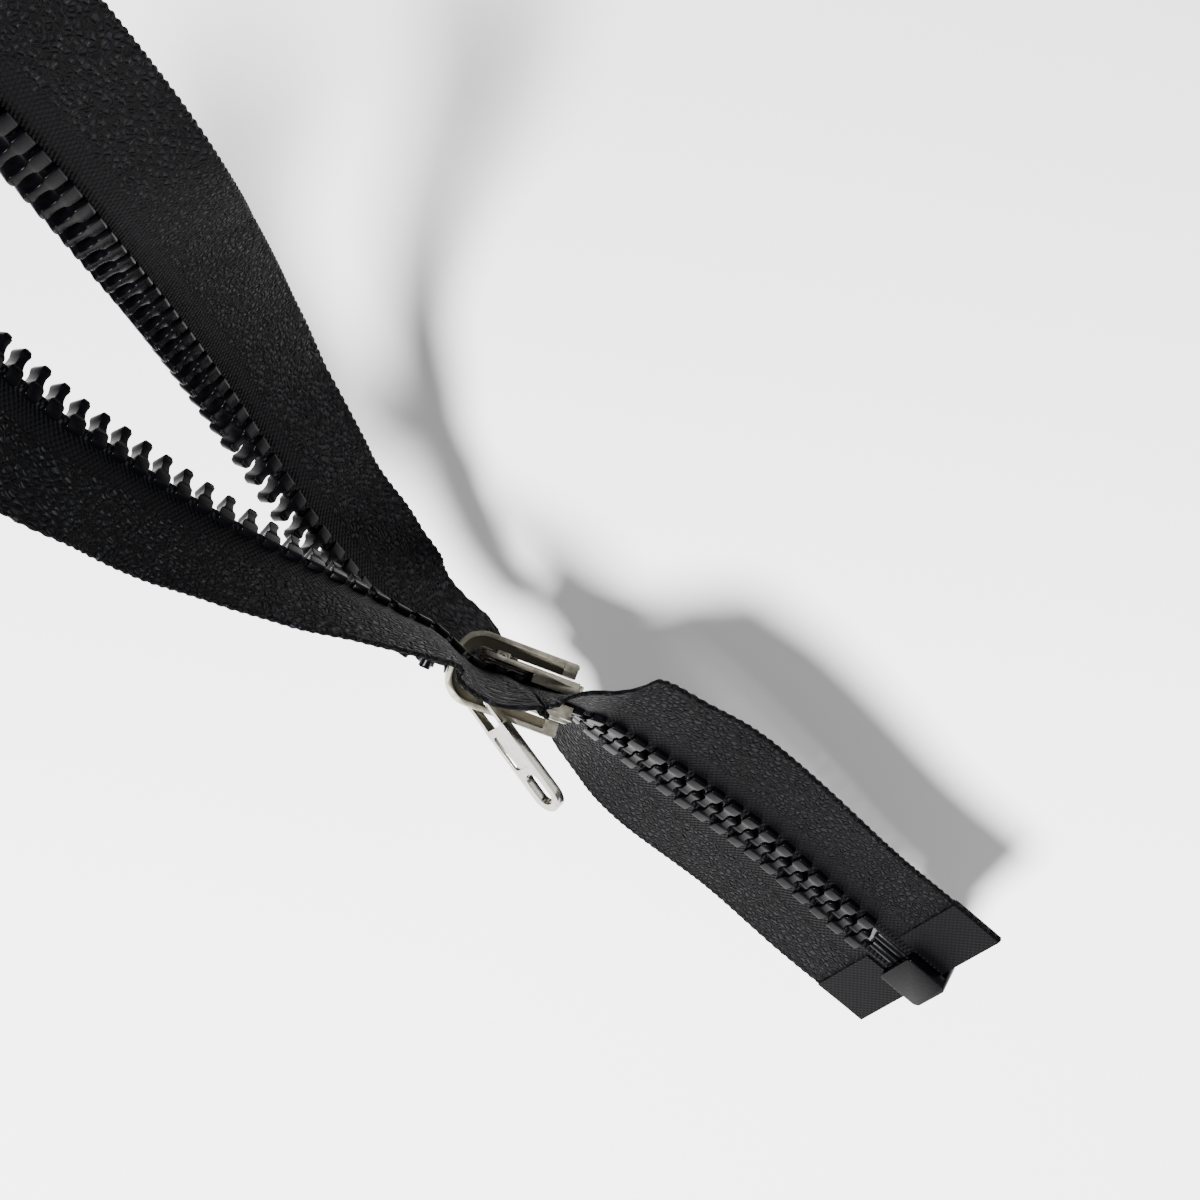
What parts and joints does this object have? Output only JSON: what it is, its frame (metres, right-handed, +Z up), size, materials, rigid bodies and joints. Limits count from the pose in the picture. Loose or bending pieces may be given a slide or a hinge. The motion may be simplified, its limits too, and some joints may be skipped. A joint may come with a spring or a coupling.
{
  "type": "separating zipper",
  "caption": "Separating zipper with moulded teeth on twill tapes, half open: reversible slider with guide rail and pull tab, top stops, retainer box and pins, reinforced tape ends.",
  "frame": {"origin": "midway between the two tape tops, where the zipper is held", "axes": "+Z up, the zipper hanging down from the origin towards +X and -Y"},
  "size_m": [0.1344, 0.1103, 0.1198],
  "materials": {
    "tape": "matt woven polyester, ribbed",
    "teeth_plastic": "satin moulded acetal",
    "film": "smooth reinforcement film",
    "slider_nickel": "antique nickel plating, satin",
    "pull_nickel": "polished nickel plating",
    "spring_steel": "spring steel"
  },
  "bodies": {
    "stringers": {"right_tape_open": "tape", "left_tape_open": "tape", "right_tape_slider": "tape", "left_tape_slider": "tape", "right_tape_closed": "tape", "left_tape_closed": "tape", "right_teeth_open": "teeth_plastic", "left_teeth_open": "teeth_plastic", "right_teeth_slider": "teeth_plastic", "left_teeth_slider": "teeth_plastic", "right_teeth_closed": "teeth_plastic", "left_teeth_closed": "teeth_plastic", "right_top_stop": "teeth_plastic", "left_top_stop": "teeth_plastic"},
    "tail": {"right_tape_fold": "tape", "left_tape_fold": "tape", "right_tape_tail": "tape", "left_tape_tail": "tape", "right_teeth_fold": "teeth_plastic", "left_teeth_fold": "teeth_plastic", "right_teeth_tail": "teeth_plastic", "left_teeth_tail": "teeth_plastic", "right_film_front": "film", "right_film_back": "film", "left_film_front": "film", "left_film_back": "film", "retainer_box": "teeth_plastic", "retainer_pin": "teeth_plastic", "insertion_pin": "teeth_plastic"},
    "slider": {"slider_body": "slider_nickel", "rail_rivet": "slider_nickel", "lock_spring": "spring_steel"},
    "guide_rail": {"guide_rail": "slider_nickel", "lock_pawl": "spring_steel"},
    "pull": {"pull_tab": "pull_nickel"}
  },
  "joints": [
    {"name": "tail_fold", "type": "hinge", "parent": "stringers", "child": "tail", "pos_m": [0.08351, -0.0708, -0.1015], "axis": [0.5525, 0.3793, 0.7422], "range_deg": [-20, 20], "deforming": ["right_tape_fold", "left_tape_fold", "right_teeth_fold", "left_teeth_fold"]},
    {"name": "slider_travel", "type": "slide", "parent": "stringers", "child": "slider", "axis": [0.922, -0.3534, -0.158], "range_m": [-0.001, 0.001], "deforming": ["right_teeth_slider", "left_teeth_slider"]},
    {"name": "rail_rock", "type": "hinge", "parent": "slider", "child": "guide_rail", "pos_m": [0.05315, -0.04937, -0.09389], "axis": [0.1841, 0.0414, 0.982], "range_deg": [-1, 1], "stiffness_Nm_per_rad": 0.02},
    {"name": "pull_swing", "type": "hinge", "parent": "guide_rail", "child": "pull", "pos_m": [0.05029, -0.05435, -0.09314], "axis": [-0.1841, -0.0414, -0.982], "range_deg": [0, 110]}
  ]
}
